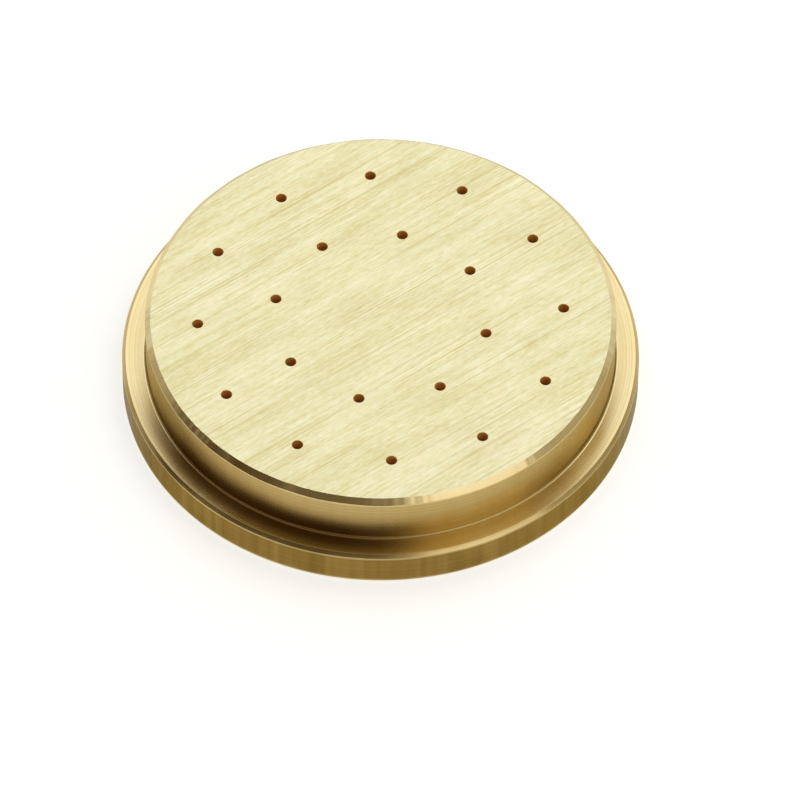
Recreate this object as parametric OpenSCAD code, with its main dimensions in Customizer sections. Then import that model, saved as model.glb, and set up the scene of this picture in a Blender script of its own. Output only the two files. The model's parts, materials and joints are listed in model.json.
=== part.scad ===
// Pasta extrusion die, turned and drilled from one brass blank.
// The flat inlet face is at the bottom and seats on the end of the extruder's barrel.
// A ring nut goes over the boss and clamps the flange by its shoulder.
// Dough enters the feed bores in the inlet face and leaves the die holes in the outlet face on top.

/* [Flange] */
// Diameter of the flange
flange_d = 78; // [70:0.5:100]
// Thickness of the flange, from the inlet face up to the shoulder
flange_t = 6; // [3:0.1:12]
// Bevel round the flange's upper edge
shoulder_bevel = 0.5; // [0.1:0.1:1.5]
// Bevel round the inlet face
inlet_bevel = 0.3; // [0.1:0.1:1.2]

/* [Boss] */
// Width of the shoulder, from the rim of the flange in to the boss
shoulder_w = 3.6; // [2.6:0.1:6]
// Height of the boss above the shoulder
boss_h = 8.5; // [5:0.1:20]
// Bevel round the outlet face
outlet_bevel = 0.8; // [0.1:0.1:2]
// Radius in the corner at the foot of the boss
corner_r = 0.4; // [0.1:0.1:1]

/* [Die holes] */
// Diameter of a die hole, which sets the thickness of the strand
hole_d = 1.6; // [0.8:0.1:3]
// Length of a die hole's straight land, below the outlet face
land_h = 3; // [1:0.1:6]
// Diameter of the feed bore that leads to a die hole
feed_d = 4; // [3.2:0.1:6]
// Point angle of the drill that cuts the feed bores
drill_point = 118; // [90:1:140]

/* [Hole rings] */
// Holes in the outer ring
outer_count = 12; // [4:1:16]
// Distance from the wall of the boss in to the outer ring's hole centres
edge_margin = 7.9; // [4:0.1:10]
// Holes in the inner ring
inner_count = 8; // [3:1:10]
// Distance from the outer ring in to the inner ring's hole centres
ring_gap = 11.4; // [7:0.1:14]

/* [Hidden] */

brass = "#d9c27c";
// Faces round the turned body and round each hole
body_faces = 180;
hole_faces = 36;
// How far a cutter runs past the face that it opens, and a fillet into its wall
overrun = 1;

flange_r = flange_d / 2;
boss_r = flange_r - shoulder_w;
die_h = flange_t + boss_h;

// The drill's point leaves a cone between the feed bore and the land
cone_h = (feed_d - hole_d) / 2 / tan(drill_point / 2);
feed_h = die_h - land_h - cone_h;

outer_ring_r = boss_r - edge_margin;
inner_ring_r = outer_ring_r - ring_gap;

// Concave corner of radius r with its root at the origin, sunk into both walls
module corner_fillet(r) {
    difference() {
        translate([-overrun, -overrun]) square(r + overrun);
        translate([r, r]) circle(r, $fn = hole_faces);
    }
}

// Half section of the turned blank, with the axis at x = 0
module blank_section() {
    polygon([
        [0, 0],
        [flange_r - inlet_bevel, 0],
        [flange_r, inlet_bevel],
        [flange_r, flange_t - shoulder_bevel],
        [flange_r - shoulder_bevel, flange_t],
        [boss_r, flange_t],
        [boss_r, die_h - outlet_bevel],
        [boss_r - outlet_bevel, die_h],
        [0, die_h]
    ]);
    translate([boss_r, flange_t]) corner_fillet(corner_r);
}

// Half section of one drilled way: feed bore, drill-point cone and land
module way_section() {
    polygon([
        [0, -overrun],
        [feed_d / 2, -overrun],
        [feed_d / 2, feed_h],
        [hole_d / 2, feed_h + cone_h],
        [hole_d / 2, die_h + overrun],
        [0, die_h + overrun]
    ]);
}

// Evenly spaced drilled ways on a ring, the first of them on +X
module way_ring(ring_r, count) {
    for (i = [0 : count - 1])
        rotate(i * 360 / count)
            translate([ring_r, 0, 0])
                rotate_extrude($fn = hole_faces) way_section();
}

module die() {
    color(brass)
        difference() {
            rotate_extrude($fn = body_faces) blank_section();
            way_ring(outer_ring_r, outer_count);
            way_ring(inner_ring_r, inner_count);
        }
}

die();
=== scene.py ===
# %% [markdown]
# # A pasta extrusion die in ground and turned brass
#
# The die is one disc of brass. A lathe cut its flange, shoulder, boss and bevels, a drill cut the
# ways that shape the dough, and a grinder drew straight lines over the outlet face on top.
# The script loads the imported solid, models the same form again as one closed mesh with finer
# edges, gives each kind of cut its own finish with painted shade on the darker ones, and sets up a
# small studio round it.

# %% Load the imported die
import json
import math

import bmesh
import bpy
from mathutils import Matrix, Vector, noise


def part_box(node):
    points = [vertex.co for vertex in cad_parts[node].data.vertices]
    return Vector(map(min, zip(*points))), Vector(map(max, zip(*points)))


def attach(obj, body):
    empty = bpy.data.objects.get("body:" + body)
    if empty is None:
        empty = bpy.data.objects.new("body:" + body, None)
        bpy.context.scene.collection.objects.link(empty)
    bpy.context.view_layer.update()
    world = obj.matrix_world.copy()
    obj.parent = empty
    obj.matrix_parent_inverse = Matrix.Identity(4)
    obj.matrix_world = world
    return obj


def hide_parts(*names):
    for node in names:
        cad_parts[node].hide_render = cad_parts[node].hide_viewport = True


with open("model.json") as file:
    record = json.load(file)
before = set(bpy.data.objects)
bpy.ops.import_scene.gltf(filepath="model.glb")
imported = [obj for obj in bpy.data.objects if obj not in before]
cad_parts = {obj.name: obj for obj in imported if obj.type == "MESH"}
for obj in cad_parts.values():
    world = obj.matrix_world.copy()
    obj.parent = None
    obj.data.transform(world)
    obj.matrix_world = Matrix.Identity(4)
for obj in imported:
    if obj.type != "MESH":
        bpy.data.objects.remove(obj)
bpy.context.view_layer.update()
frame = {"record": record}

MM = 0.001
low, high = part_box("die")
print("packed box, mm:", [round(c / MM, 2) for c in low], [round(c / MM, 2) for c in high])

# %% [markdown]
# ## Sizes
#
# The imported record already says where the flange, the shoulder and the boss are, because they
# are the places where the extruder holds the die. Reading them from there keeps the mesh on the
# solid. Only the drilled ways are written out here.

# %% Read the die's sizes
mounts = {mount["name"]: mount for mount in frame["record"]["mounts"]}


def wall_of(name):
    """Radius, lowest and highest point of a straight turned wall, in metres."""
    mount = mounts[name]
    half = mount["dims"]["length_mm"] * MM / 2
    middle = mount["pos_m"][2]
    return mount["dims"]["r_mm"] * MM, middle - half, middle + half


rim_r, rim_low, rim_high = wall_of("flange_rim")
boss_r, boss_low, boss_high = wall_of("boss")
inlet_z = low.z
outlet_z = high.z
shoulder_z = mounts["flange_shoulder"]["pos_m"][2]
outlet_bevel = outlet_z - boss_high
shoulder_bevel = shoulder_z - rim_high
inlet_bevel = rim_low - inlet_z
corner_r = boss_low - shoulder_z
print("rim and boss radius, mm:", round(rim_r / MM, 2), round(boss_r / MM, 2))

# %% [markdown]
# ## The turned walls
#
# A lathe part is a half section carried once round its axis, so the spin operator is its natural
# tool. The section runs from the edge of the inlet face, up the rim, in along the shoulder and up
# the boss to the edge of the outlet face. The two flat faces stay open until the ways are drilled.
# A vertex bevel breaks each turned edge of the section, and a larger one rounds the inner corner.
# One sector is spun first and then copied round, and the doubles on the seams are merged.

# %% Draw, round and spin a section
sectors = 12
merge_dist = 0.002 * MM


def draw_section(bm, points):
    """Adds a chain of edges through (radius, height) points, out along X from the axis."""
    verts = [bm.verts.new((r, 0, z)) for r, z in points]
    for pair in zip(verts, verts[1:]):
        bm.edges.new(pair)
    return verts


def round_corner(bm, vert, offset, segments):
    """Rounds one corner of a section."""
    bmesh.ops.bevel(
        bm,
        geom=[vert],
        offset=offset,
        offset_type="OFFSET",
        segments=segments,
        profile=0.5,
        affect="VERTICES",
        material=-1,
    )


def spin_section(bm, steps):
    """Carries the loose edges of a section once round the upright axis at the origin."""
    loose = [e for e in bm.edges if e.is_wire]
    ends = list(dict.fromkeys(v for e in loose for v in e.verts))
    round_axis = {"cent": (0, 0, 0), "axis": (0, 0, 1), "dvec": (0, 0, 0)}
    arc = math.tau / sectors
    bmesh.ops.spin(bm, geom=ends + loose, angle=arc, steps=steps // sectors, **round_axis)
    bmesh.ops.spin(
        bm,
        geom=bm.verts[:] + bm.edges[:] + bm.faces[:],
        angle=math.tau - arc,
        steps=sectors - 1,
        use_duplicate=True,
        **round_axis,
    )
    bmesh.ops.remove_doubles(bm, verts=bm.verts, dist=merge_dist)


# %% Turn the outside of the die
body_steps = 960
edge_break = 0.03 * MM
edge_segments = 2
corner_segments = 10
# The rim is a hair smaller than the solid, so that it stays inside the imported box.
hair = 0.001 * MM
foot_point = (boss_r, shoulder_z)
outside = (
    (rim_r - inlet_bevel, inlet_z),
    (rim_r - hair, rim_low),
    (rim_r - hair, rim_high),
    (rim_r - shoulder_bevel, shoulder_z),
    foot_point,
    (boss_r, boss_high),
    (boss_r - outlet_bevel, outlet_z),
)
die_mesh = bmesh.new()
corners = draw_section(die_mesh, outside)
foot = corners.pop(outside.index(foot_point))
for corner in corners[1:-1]:
    round_corner(die_mesh, corner, edge_break, edge_segments)
round_corner(die_mesh, foot, corner_r, corner_segments)
spin_section(die_mesh, body_steps)
print("turned faces:", len(die_mesh.faces))

# %% [markdown]
# ## The bevel round the outlet face
#
# This bevel is dressed by hand after turning, so its two edges wander a little and carry a few
# small nicks. Moving the two rings of vertices by a smooth noise along their angle does this.
# The upper edge moves in the outlet face's own plane, so the face stays flat.

# %% Let the bevel's edges wander
upper_wander = 0.03 * MM
lower_wander = 0.05 * MM
# Each wave of the wander: how many go round the die, its share and its seed.
upper_waves = ((60, 1.0, 1), (240, 0.5, 2))
lower_waves = ((50, 1.0, 3), (200, 0.4, 4))
noise_swing = 2
nick_depth = 0.07 * MM
# Half the width of a nick, and where the nicks are, in degrees round from +X.
nick_half = 0.6
nicks = (-141.2, -171.0, -172.6, -174.8, -177.2, 24.0, 97.0)
near = 0.2 * MM


def wander(turn, waves):
    """Smooth noise along an edge, which closes on itself after a full turn."""
    total = 0.0
    for count, share, seed in waves:
        span = count / math.tau
        spot = Vector((span * math.cos(turn), span * math.sin(turn), seed))
        total += share * (noise_swing * noise.noise(spot))
    return total


def nick(turn):
    """Depth of the nicks at an angle, from 0 to 1."""
    gaps = (abs((math.degrees(turn) - n + 180) % 360 - 180) for n in nicks)
    return max(max(0.0, 1 - (gap / nick_half) ** 2) for gap in gaps)


for vert in die_mesh.verts:
    turn = math.atan2(vert.co.y, vert.co.x)
    if vert.co.z > outlet_z - near:
        shift = upper_wander * wander(turn, upper_waves)
        radius = vert.co.xy.length - abs(shift) - nick_depth * nick(turn)
        vert.co.x, vert.co.y = radius * math.cos(turn), radius * math.sin(turn)
    elif abs(vert.co.z - boss_high) < near and vert.co.xy.length > boss_r - near:
        vert.co.z += lower_wander * wander(turn, lower_waves)
print("nicks in the bevel:", len(nicks))

# %% [markdown]
# ## The drilled ways
#
# Each way is a small turned shape of its own: a narrow land, the cone that the drill's point
# leaves, and the wide feed bore. Spinning it at its place on the ring gives an open tube through
# the die. The flat faces are then filled between the outer edge and the mouths of the tubes,
# which needs no boolean and leaves one closed mesh.

# %% Drill both rings of ways
hole_r = 0.8 * MM
feed_r = 2.0 * MM
land_h = 3.0 * MM
drill_point = math.radians(118)
cone_h = (feed_r - hole_r) / math.tan(drill_point / 2)
mouth_break = 0.06 * MM
# Each ring of ways: its radius and how many ways are on it.
rings = ((27.5 * MM, 12), (16.1 * MM, 8))
way_steps = 48
way = (
    (hole_r + mouth_break, outlet_z),
    (hole_r, outlet_z - mouth_break),
    (hole_r, outlet_z - land_h),
    (feed_r, outlet_z - land_h - cone_h),
    (feed_r, inlet_z + mouth_break),
    (feed_r + mouth_break, inlet_z),
)
way_mesh = bmesh.new()
draw_section(way_mesh, way)
spin_section(way_mesh, way_steps)
way_data = bpy.data.meshes.new("way")
way_mesh.to_mesh(way_data)
way_mesh.free()
for ring_r, count in rings:
    for k in range(count):
        place = Matrix.Rotation(math.tau * k / count, 4, "Z") @ Matrix.Translation((ring_r, 0, 0))
        way_data.transform(place)
        die_mesh.from_mesh(way_data)
        way_data.transform(place.inverted())
bpy.data.meshes.remove(way_data)
print("faces with the ways:", len(die_mesh.faces))

# %% Fill the two flat faces
flat = 0.001 * MM
for face_z in (outlet_z, inlet_z):
    mouths = [
        e for e in die_mesh.edges
        if e.is_boundary and all(abs(v.co.z - face_z) < flat for v in e.verts)
    ]
    bmesh.ops.triangle_fill(die_mesh, use_beauty=True, edges=mouths)
bmesh.ops.recalc_face_normals(die_mesh, faces=die_mesh.faces)
open_edges = sum(e.is_boundary or e.is_wire for e in die_mesh.edges)
print("closed faces:", len(die_mesh.faces), "open edges:", open_edges)

# %% [markdown]
# ## One mesh, seven finishes
#
# The faces are sorted by the tool that cut them and by where they sit, and the edges between
# them are kept crisp. The rim, the flange's bevels and the boss wall take darker tones as painted
# shade. The finished object replaces the plain solid and rides on the same body.

# %% Sort the faces
OUTLET, FACED, BEVEL, EDGE, WALL, RIM, WAY = range(7)
# How far a face's normal points up or down: a flat face, one that lies, one that stands.
dead_flat = 0.999
lying = 0.9
standing = 0.2
way_reach = max(r for r, count in rings) + feed_r + mouth_break


def finish_of(face):
    """Which finish a face takes, from its place and its slope."""
    middle = face.calc_center_median()
    radius = middle.xy.length
    if middle.z > outlet_z - flat and face.normal.z > dead_flat:
        return OUTLET
    if radius < way_reach and abs(face.normal.z) < dead_flat:
        return WAY
    if abs(face.normal.z) > lying:
        return FACED
    if abs(face.normal.z) > standing and not (boss_r < radius < boss_r + corner_r):
        return EDGE if radius > boss_r + near else BEVEL
    return RIM if radius > boss_r + near else WALL


for face in die_mesh.faces:
    face.smooth = True
    face.material_index = finish_of(face)
print("faces on the outlet:", sum(f.material_index == OUTLET for f in die_mesh.faces))

# %% Keep the edges crisp and make the object
crisp = math.radians(3)
level_slope = 0.3


def in_foot(edge):
    """Whether an edge lies inside the rounded corner at the foot of the boss."""
    return all(
        boss_r + flat < v.co.xy.length < boss_r + corner_r - flat and v.co.z > shoulder_z + flat
        for v in edge.verts
    )


for edge in die_mesh.edges:
    drop = abs(edge.verts[0].co.z - edge.verts[1].co.z)
    runs_round = drop < level_slope * edge.calc_length()
    edge.smooth = not (runs_round and edge.calc_face_angle(0) > crisp) or in_foot(edge)
data = bpy.data.meshes.new("brass_die")
die_mesh.to_mesh(data)
die_mesh.free()
die = bpy.data.objects.new("brass_die", data)
bpy.context.scene.collection.objects.link(die)
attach(die, "root")
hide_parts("die")
print("triangles:", sum(len(p.vertices) - 2 for p in data.polygons))

# %% [markdown]
# ## Finishes
#
# All of it is one brass, so the finishes share one colour family and differ in their tool marks
# and in how much painted shade darkens them.
# One helper adds a node, sets its options and the colours of a ramp, and links or fills its inputs.

# %% Helpers for materials


def linear(code):
    """Turns an sRGB hex colour into Blender's linear colour."""
    parts = [int(code[k : k + 2], 16) / 255 for k in (1, 3, 5)]
    return [c / 12.92 if c <= 0.04045 else ((c + 0.055) / 1.055) ** 2.4 for c in parts] + [1.0]


def add(tree, kind, inputs=None, stops=(), **settings):
    """Adds a node: its options, its inputs by name or number, and a ramp's (position, hex) stops."""
    node = tree.nodes.new(kind)
    for name, value in settings.items():
        setattr(node, name, value)
    for name, value in (inputs or {}).items():
        if isinstance(value, bpy.types.NodeSocket):
            tree.links.new(value, node.inputs[name])
        else:
            node.inputs[name].default_value = value
    for k, (position, code) in enumerate(stops):
        elements = node.color_ramp.elements
        element = elements[k] if k < len(elements) else elements.new(1.0)
        element.position = position
        element.color = linear(code)
    return node


def start_material(name):
    """A material with an empty node tree, and its Object coordinates."""
    material = bpy.data.materials.new(name)
    material.use_nodes = True
    tree = material.node_tree
    tree.nodes.clear()
    return material, tree, add(tree, "ShaderNodeTexCoord").outputs["Object"]


def end_material(material, shader, mesh):
    """Links a shader to the material's output and puts the material on a mesh."""
    add(material.node_tree, "ShaderNodeOutputMaterial", {"Surface": shader.outputs[0]})
    mesh.materials.append(material)
    print("finish:", material.name)


def marks(tree, place, size, detail, turn=0.0):
    """Noise whose spots have a real length, width and height in mm, turned round the die's axis."""
    laid = add(
        tree,
        "ShaderNodeMapping",
        {"Vector": place, "Rotation": (0, 0, turn), "Scale": [s * MM for s in size]},
        vector_type="TEXTURE",
    )
    spots = add(tree, "ShaderNodeTexNoise", {"Vector": laid.outputs[0], "Scale": 1.0, "Detail": detail})
    return spots.outputs[0]


# %% [markdown]
# ### Straight-ground brass
#
# The outlet face is ground flat with straight strokes, so its lines all run one way. Long thin
# lines make the pattern, short ones break them up, and soft clouds show where the
# grinder pressed harder. A few deeper scratches lean a little from the stroke. A real grit line is
# about 0.05 mm wide, too fine to show, so the lines are drawn 0.3 mm wide. The reflection spreads
# across the strokes, which the anisotropy gives.

# %% Straight-ground brass, the outlet face
grind_angle = math.radians(2.5)
scratch_angle = grind_angle + 0.02
# Marks in mm: along the stroke, across it, and in depth.
long_line = (22, 0.3, 1)
short_line = (1.1, 0.3, 1)
cloud = (9, 3, 1)
scratch = (34, 0.32, 1)
short_share = 0.5
cloud_share = 0.12
# Noise keeps near its middle, so a ramp spreads its colours over this stretch.
tone_spots = (0.35, 0.5, 0.65)
ground_tones = ("#DCD09A", "#E7E0B7", "#F0ECCE")
scratch_tone = "#C6AC68"
scratch_spots = {"From Min": 0.66, "From Max": 0.76, "To Min": 0.0, "To Max": 0.36}
satin_spots = {"From Min": 0.3, "From Max": 0.7, "To Min": 0.41, "To Max": 0.35}
line_depth = 0.008 * MM


def ground_pattern(tree, place):
    """The lines of the grinder, and the clouds where it pressed harder."""
    long_lines = marks(tree, place, long_line, detail=2.0, turn=grind_angle)
    short_lines = marks(tree, place, short_line, detail=2.5, turn=grind_angle)
    lines = add(tree, "ShaderNodeMix", {"Factor": short_share, "A": long_lines, "B": short_lines})
    clouds = marks(tree, place, cloud, detail=2.5, turn=grind_angle)
    return lines.outputs[0], clouds


def ground_brass():
    """Brass ground in straight strokes: a pale satin face with fine lines along the stroke."""
    material, tree, place = start_material("straight_ground_brass")
    lines, clouds = ground_pattern(tree, place)
    pattern = add(tree, "ShaderNodeMix", {"Factor": cloud_share, "A": lines, "B": clouds})
    stops = list(zip(tone_spots, ground_tones))
    tone = add(tree, "ShaderNodeValToRGB", {"Fac": pattern.outputs[0]}, stops)
    scratches = marks(tree, place, scratch, detail=0.0, turn=scratch_angle)
    deep = add(tree, "ShaderNodeMapRange", {"Value": scratches, **scratch_spots})
    scored = add(
        tree,
        "ShaderNodeMix",
        {0: deep.outputs[0], 6: tone.outputs[0], 7: linear(scratch_tone)},
        data_type="RGBA",
    )
    satin = add(tree, "ShaderNodeMapRange", {"Value": clouds, **satin_spots})
    relief = add(tree, "ShaderNodeBump", {"Height": lines, "Strength": 0.3, "Distance": line_depth})
    across = add(tree, "ShaderNodeCombineXYZ", {"X": -math.sin(grind_angle), "Y": math.cos(grind_angle)})
    shader = add(
        tree,
        "ShaderNodeBsdfPrincipled",
        {
            "Base Color": scored.outputs[2],
            "Metallic": 1.0,
            "Roughness": satin.outputs[0],
            "Anisotropic": 0.6,
            "Normal": relief.outputs[0],
            "Tangent": across.outputs[0],
        },
    )
    end_material(material, shader, data)


ground_brass()

# %% [markdown]
# ### Painted shade and wear on the turned faces
#
# The inner corner between the shoulder and the boss is painted brown as shade, and more on one side
# than on the other. Hands and the ring nut rub the edges pale again. Both follow the shape: the
# painted shade fades with the distance from the corner, and the rubbed band lies close to the
# height of an edge. Real distances in mm keep them in scale.

# %% Paint shade into the inner corner and rub the edges
# The brown of the painted shade in the inner corner, and how near and far from the corner it reaches.
corner_shade_tone = "#5A3314"
shade_near = 1.2 * MM
shade_far = 4.4 * MM
# The painted shade is strongest on this side of the die.
shaded_angle = math.radians(-155)
shaded_side = (math.cos(shaded_angle), math.sin(shaded_angle), 0)
shaded_side_spots = {"From Min": 23.5 * MM, "From Max": 34 * MM, "To Min": 0.12, "To Max": 0.7}
rubbed_tone = "#E6D29C"
rubbed_band = 0.5 * MM


def paint_corner_shade(tree, place, radius, height):
    """How much painted shade a place takes, from 0 to 1: most in the inner corner and on the shaded side.
    """
    out = add(tree, "ShaderNodeMath", {0: radius, 1: boss_r}, operation="SUBTRACT")
    above = add(tree, "ShaderNodeMath", {0: height, 1: shoulder_z}, operation="SUBTRACT")
    from_foot = add(tree, "ShaderNodeCombineXYZ", {"X": out.outputs[0], "Y": above.outputs[0]})
    gap = add(tree, "ShaderNodeVectorMath", {0: from_foot.outputs[0]}, operation="LENGTH")
    close = add(
        tree,
        "ShaderNodeMapRange",
        {"Value": gap.outputs["Value"], "From Min": shade_far, "From Max": shade_near},
        interpolation_type="SMOOTHSTEP",
    )
    side = add(tree, "ShaderNodeVectorMath", {0: place, 1: shaded_side}, operation="DOT_PRODUCT")
    share = add(
        tree,
        "ShaderNodeMapRange",
        {"Value": side.outputs["Value"], **shaded_side_spots},
        interpolation_type="SMOOTHSTEP",
    )
    corner_shade = add(tree, "ShaderNodeMath", {0: close.outputs[0], 1: share.outputs[0]}, operation="MULTIPLY")
    return corner_shade.outputs[0]


def rub_edges(tree, height, stains):
    """How rubbed a place is, from 0 to 1: a broken band beside each turned edge."""
    nearest = 1.0
    for edge_z in (rim_low, rim_high, boss_high):
        off = add(tree, "ShaderNodeMath", {0: height, 1: edge_z}, operation="SUBTRACT")
        off = add(tree, "ShaderNodeMath", {0: off.outputs[0]}, operation="ABSOLUTE")
        nearest = add(tree, "ShaderNodeMath", {0: off.outputs[0], 1: nearest}, operation="MINIMUM")
        nearest = nearest.outputs[0]
    band = add(tree, "ShaderNodeMapRange", {"Value": nearest, "From Min": rubbed_band, "From Max": 0.0})
    rubbed = add(tree, "ShaderNodeMath", {0: band.outputs[0], 1: stains}, operation="MULTIPLY")
    return rubbed.outputs[0]


# How far the painted corner shade reaches.
print("stain reaches, mm:", round(shade_far / MM, 2))

# %% [markdown]
# ### Lathe-turned brass
#
# A lathe tool leaves fine rings round the axis. On the walls they run level, and on the shoulder
# and the bevels they run in circles, so one coordinate, radius plus height, numbers the rings on
# all of them. The reflection spreads across the rings, so a lamp's picture stays sharp sideways
# and smears up and down a wall. The feed of a finishing cut is about 0.1 mm, too fine to show,
# so the rings are drawn 0.3 mm apart. Faint upright marks are the chatter of the tool.

# %% Turned brass, for the shoulder, the walls, the bevels and the rim
ring_gap = 0.3 * MM
# Marks in mm: along X, along Y, and in height.
chatter_mark = (1.4, 1.4, 60)
stain_spot = (9, 9, 9)
stain_share = 0.35
ring_depth = 0.0015 * MM
polished_by = 0.03
dulled_by = 0.04
# Off-angle reflections are a little warmer and weaker than clean metal's, from a thin film of oil.
film_tint = "#D0CBBA"


def turned_pattern(tree, place, radius, height, chatter):
    """The rings of the lathe, broken by a share of upright chatter."""
    travel = add(tree, "ShaderNodeMath", {0: radius, 1: height}, operation="ADD")
    rings_seen = add(
        tree,
        "ShaderNodeTexNoise",
        {"W": travel.outputs[0], "Scale": 1 / ring_gap, "Detail": 2.0},
        noise_dimensions="1D",
    )
    upright_marks = marks(tree, place, chatter_mark, detail=2.0)
    tooled = {"Factor": chatter, "A": rings_seen.outputs[0], "B": upright_marks}
    return add(tree, "ShaderNodeMix", tooled).outputs[0]


def turned_brass(name, colours, roughness, chatter):
    """Brass off the lathe: near a mirror along its rings and soft across them."""
    material, tree, place = start_material(name)
    height = add(tree, "ShaderNodeSeparateXYZ", {"Vector": place}).outputs["Z"]
    from_axis = add(tree, "ShaderNodeVectorMath", {0: place, 1: (1, 1, 0)}, operation="MULTIPLY")
    radius = add(tree, "ShaderNodeVectorMath", {0: from_axis.outputs[0]}, operation="LENGTH")
    radius = radius.outputs["Value"]
    tooled = turned_pattern(tree, place, radius, height, chatter)
    stains = marks(tree, place, stain_spot, detail=2.0)
    pattern = add(tree, "ShaderNodeMix", {"Factor": stain_share, "A": tooled, "B": stains})
    stops = list(zip(tone_spots, colours))
    tone = add(tree, "ShaderNodeValToRGB", {"Fac": pattern.outputs[0]}, stops)
    # Painted shade: the inner corner is darkened towards brown, most on one side.
    corner_shade = paint_corner_shade(tree, place, radius, height)
    shaded = add(
        tree,
        "ShaderNodeMix",
        {0: corner_shade, 6: tone.outputs[0], 7: linear(corner_shade_tone)},
        data_type="RGBA",
    )
    rubbed = rub_edges(tree, height, stains)
    worn = add(
        tree,
        "ShaderNodeMix",
        {0: rubbed, 6: shaded.outputs[2], 7: linear(rubbed_tone)},
        data_type="RGBA",
    )
    polish_spots = {"To Min": roughness - polished_by, "To Max": roughness + dulled_by}
    polish = add(
        tree,
        "ShaderNodeMapRange",
        {"Value": stains, "From Min": 0.3, "From Max": 0.7, **polish_spots},
    )
    relief = add(tree, "ShaderNodeBump", {"Height": tooled, "Strength": 0.2, "Distance": ring_depth})
    around = add(tree, "ShaderNodeVectorMath", {0: (0, 0, 1), 1: place}, operation="CROSS_PRODUCT")
    shader = add(
        tree,
        "ShaderNodeBsdfPrincipled",
        {
            "Base Color": worn.outputs[2],
            "Metallic": 1.0,
            "Roughness": polish.outputs[0],
            "Anisotropic": 0.6,
            "Anisotropic Rotation": 0.25,
            "Specular Tint": linear(film_tint),
            "Normal": relief.outputs[0],
            "Tangent": around.outputs[0],
        },
    )
    end_material(material, shader, data)


# %% Give each turned face its finish
# The shoulder and the inlet face, faced in the lathe: a clear pale gloss.
turned_brass("faced_brass", ("#E0CA93", "#E8D4A1", "#EEDEB0"), roughness=0.22, chatter=0.15)
# The bevel round the outlet face, dressed after turning: the brightest edge.
turned_brass("dressed_brass", ("#DECA96", "#E5D5A7", "#EBDFB6"), roughness=0.2, chatter=0.15)
# The flange's bevels, which hands and the ring nut touch: the same gloss, a little dulled, and painted
# darker as shade.
turned_brass("handled_edge_brass", ("#BDA672", "#CBB786", "#D8C799"), roughness=0.22, chatter=0.15)
# The wall of the boss: a deeper yellow painted in as shade, with rings.
turned_brass("turned_brass", ("#B59B60", "#BFA66B", "#C9B27A"), roughness=0.26, chatter=0.2)
# The rim, which is handled most: duller, with plain upright marks, and painted much darker as shade.
turned_brass("handled_turned_brass", ("#7E6430", "#90743A", "#A28648"), roughness=0.28, chatter=0.6)

# %% [markdown]
# ### Drilled brass
#
# The walls of the ways are rough from the drill and covered by a dull warm brown film from use.
# Light only reaches them after many bounces, so the film is written paler than it looks: deep in
# a way it shows as dark reddish brown. The film is hardly metallic, which keeps it matt.

# %% Drilled brass, the ways
drill_ring = (30, 30, 0.25)
drilled_tones = ((0.35, "#D29A50"), (0.65, "#E4AC62"))
dull_spots = {"From Min": 0.3, "From Max": 0.7, "To Min": 0.45, "To Max": 0.6}


def drilled_brass():
    """Browned brass left by the drill: dull and reddish, with faint rings down the wall."""
    material, tree, place = start_material("drilled_brass")
    tool_rings = marks(tree, place, drill_ring, detail=1.0)
    tone = add(tree, "ShaderNodeValToRGB", {"Fac": tool_rings}, drilled_tones)
    dulled = add(tree, "ShaderNodeMapRange", {"Value": tool_rings, **dull_spots})
    shader = add(
        tree,
        "ShaderNodeBsdfPrincipled",
        {"Base Color": tone.outputs[0], "Metallic": 0.1, "Roughness": dulled.outputs[0]},
    )
    end_material(material, shader, data)


drilled_brass()

# %% [markdown]
# ## The studio
#
# The die lies on a sheet of white paper. Its brightness comes from the lamps, so it keeps the
# die's shadow. A small glow, only for rays from the camera, from metal and through glass, lifts
# the paper to white, and the metal shows the same white. The glow is slightly cool, which evens
# out the warm room, and it stops under the die, so that the ways stay dark.

# %% Lay the paper
paper_half = 6.0
paper_gap = 0.02 * MM
paper_mesh = bmesh.new()
bmesh.ops.create_grid(
    paper_mesh,
    x_segments=1,
    y_segments=1,
    size=paper_half,
    matrix=Matrix.Translation((0, 0, inlet_z - paper_gap)),
)
paper_data = bpy.data.meshes.new("paper")
paper_mesh.to_mesh(paper_data)
paper_mesh.free()
paper = bpy.data.objects.new("paper", paper_data)
bpy.context.scene.collection.objects.link(paper)
print("paper, m:", 2 * paper_half)

# %% White paper
paper_tone = "#DCDCDC"
glow_tone = "#F8FBFF"
paper_glow = 0.66
glow_spots = {"From Min": rim_r - 2 * MM, "From Max": rim_r, "To Max": paper_glow}


def white_paper():
    """Matte white paper: an even white that takes a soft shadow."""
    material, tree, place = start_material("white_paper")
    path = add(tree, "ShaderNodeLightPath").outputs
    seen = path["Is Camera Ray"]
    for kind in ("Is Glossy Ray", "Is Transmission Ray"):
        seen = add(tree, "ShaderNodeMath", {0: seen, 1: path[kind]}, operation="MAXIMUM").outputs[0]
    reach = add(tree, "ShaderNodeVectorMath", {0: place}, operation="LENGTH")
    clear = add(tree, "ShaderNodeMapRange", {"Value": reach.outputs["Value"], **glow_spots})
    glow = add(tree, "ShaderNodeMath", {0: seen, 1: clear.outputs[0]}, operation="MULTIPLY")
    lift = add(tree, "ShaderNodeEmission", {"Color": linear(glow_tone), "Strength": glow.outputs[0]})
    matte = add(tree, "ShaderNodeBsdfDiffuse", {"Color": linear(paper_tone)})
    both = add(tree, "ShaderNodeAddShader", {0: matte.outputs[0], 1: lift.outputs[0]})
    end_material(material, both, paper_data)


white_paper()

# %% [markdown]
# ## Camera
#
# A long lens from high in front shows the outlet face as a wide ellipse with both side walls
# below it. The camera looks past the middle of the die by a few millimetres and leans by half a
# degree, which puts the die where the picture has it.

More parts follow.
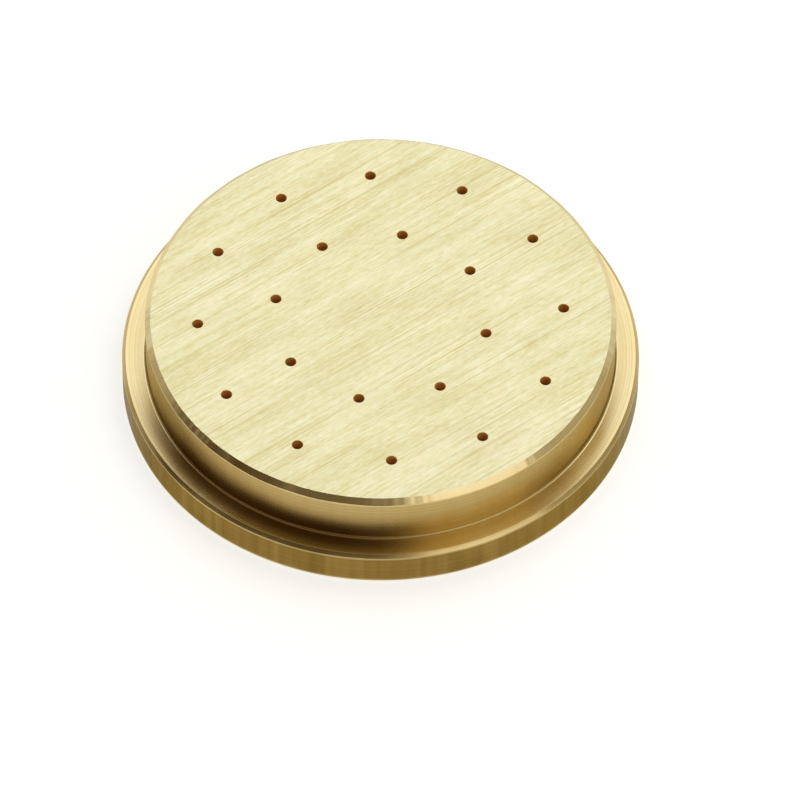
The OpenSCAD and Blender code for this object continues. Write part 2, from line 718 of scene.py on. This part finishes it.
# %% Place the camera
view_azimuth = -33.77
view_elevation = 51.62
view_roll = 0.486
lens_mm = 376.8
sensor_mm = 36
distance = 1267.8 * MM
aim_right = 2.96 * MM
aim_down = 3.60 * MM


def direction(angle, elevation):
    """Unit vector at an angle round from +X and an elevation above the floor, both in degrees."""
    turn, lift = math.radians(angle), math.radians(elevation)
    return Vector((math.cos(turn) * math.cos(lift), math.sin(turn) * math.cos(lift), math.sin(lift)))


camera_angle = view_azimuth - 90
back = direction(camera_angle, view_elevation)
right = direction(camera_angle + 90, 0)
up = back.cross(right)
level_view = Matrix((right, up, back)).transposed()
rolled = level_view @ Matrix.Rotation(math.radians(view_roll), 3, "Z")
aim = rolled @ Vector((aim_right, -aim_down, 0))
camera_data = bpy.data.cameras.new("camera")
camera_data.sensor_width = sensor_mm
camera_data.lens = lens_mm
camera_data.clip_start = 0.05
camera_data.clip_end = 50
camera = bpy.data.objects.new("camera", camera_data)
camera.matrix_world = Matrix.Translation(aim + back * distance) @ rolled.to_4x4()
bpy.context.scene.collection.objects.link(camera)
bpy.context.scene.camera = camera
print("camera, m:", [round(c, 4) for c in camera.matrix_world.translation])

# %% [markdown]
# ## Light
#
# Brass shows what stands round it. The outlet face mirrors a wide, slightly cool softbox behind
# the die. A second softbox to the right of the camera makes the bright stretch of the bevels, and
# a weak one beyond it warms the shoulder on that side. Bearings are degrees round the die from the
# camera's side, with 90 at the right of the picture.

# %% Set the lamps
lamp_reach = 1.5


def softbox(name, bearing, elevation, width, height, brightness, tint):
    """A rectangular lamp that faces the die."""
    lamp = bpy.data.lights.new(name, "AREA")
    lamp.shape = "RECTANGLE"
    lamp.size = width
    lamp.size_y = height
    lamp.energy = brightness * math.pi * width * height
    lamp.color = linear(tint)[:3]
    holder = bpy.data.objects.new(name, lamp)
    toward = direction(camera_angle + bearing, elevation)
    holder.location = toward * lamp_reach
    holder.rotation_euler = toward.to_track_quat("Z", "Y").to_euler()
    bpy.context.scene.collection.objects.link(holder)
    print("lamp:", name, "power, W:", round(lamp.energy, 2))


# Each lamp: its bearing and elevation in degrees, and its width and height in metres.
softbox("back_softbox", 170, 50, width=2.4, height=1.1, brightness=0.98, tint="#E8F2FF")
softbox("right_softbox", 42.5, 41, width=1.12, height=1.05, brightness=0.72, tint="#FFFCF6")
softbox("side_softbox", 96, 54, width=0.85, height=0.55, brightness=0.28, tint="#FFF6E6")

# %% [markdown]
# ## The room
#
# The walls of the room are pale and warm, with a bright line where they meet the paper. At the
# front left a narrow strip of dark card stands, bent along the arc that the bevels mirror. It
# draws their dark front line. From the right the outlet face mirrors it too and turns browner. A
# satin face mirrors a wide patch of the room, so a narrow card dulls it less than a dark wall would.

# %% Light the room
room_pale = "#B8AC90"
room_dark = "#4C3516"
horizon_pale = "#F0F0F0"
strip_middle = direction(camera_angle - 52, 32)
strip_end = direction(camera_angle, 38)
strip_across = strip_middle.cross(strip_end).normalized()
# Cosines along the strip and sines across it, from where it fades in to where it is full.
strip_length = {"From Min": 0.55, "From Max": 0.8}
strip_width = {"From Min": 0.24, "From Max": 0.12}
floor_line = {"From Min": 0.06, "From Max": 0.03}
world = bpy.data.worlds.new("studio")
bpy.context.scene.world = world
world.use_nodes = True
room = world.node_tree
room.nodes.clear()
ray = add(room, "ShaderNodeTexCoord").outputs["Generated"]
along = add(room, "ShaderNodeVectorMath", {0: ray, 1: strip_middle}, operation="DOT_PRODUCT")
across = add(room, "ShaderNodeVectorMath", {0: ray, 1: strip_across}, operation="DOT_PRODUCT")
off = add(room, "ShaderNodeMath", {0: across.outputs["Value"]}, operation="ABSOLUTE")
inside = add(
    room,
    "ShaderNodeMapRange",
    {"Value": along.outputs["Value"], **strip_length},
    interpolation_type="SMOOTHSTEP",
)
narrow = add(
    room,
    "ShaderNodeMapRange",
    {"Value": off.outputs[0], **strip_width},
    interpolation_type="SMOOTHSTEP",
)
strip = add(room, "ShaderNodeMath", {0: inside.outputs[0], 1: narrow.outputs[0]}, operation="MULTIPLY")
walls = add(
    room,
    "ShaderNodeMix",
    {0: strip.outputs[0], 6: linear(room_pale), 7: linear(room_dark)},
    data_type="RGBA",
)
ray_height = add(room, "ShaderNodeSeparateXYZ", {0: ray}).outputs["Z"]
near_floor = add(
    room,
    "ShaderNodeMapRange",
    {"Value": ray_height, **floor_line},
    interpolation_type="SMOOTHSTEP",
)
whole = add(
    room,
    "ShaderNodeMix",
    {0: near_floor.outputs[0], 6: walls.outputs[2], 7: linear(horizon_pale)},
    data_type="RGBA",
)
glowing = add(room, "ShaderNodeBackground", {"Color": whole.outputs[2], "Strength": 1.0})
add(room, "ShaderNodeOutputWorld", {"Surface": glowing.outputs[0]})
bpy.context.scene.view_settings.view_transform = "Standard"
print("room nodes:", len(room.nodes))
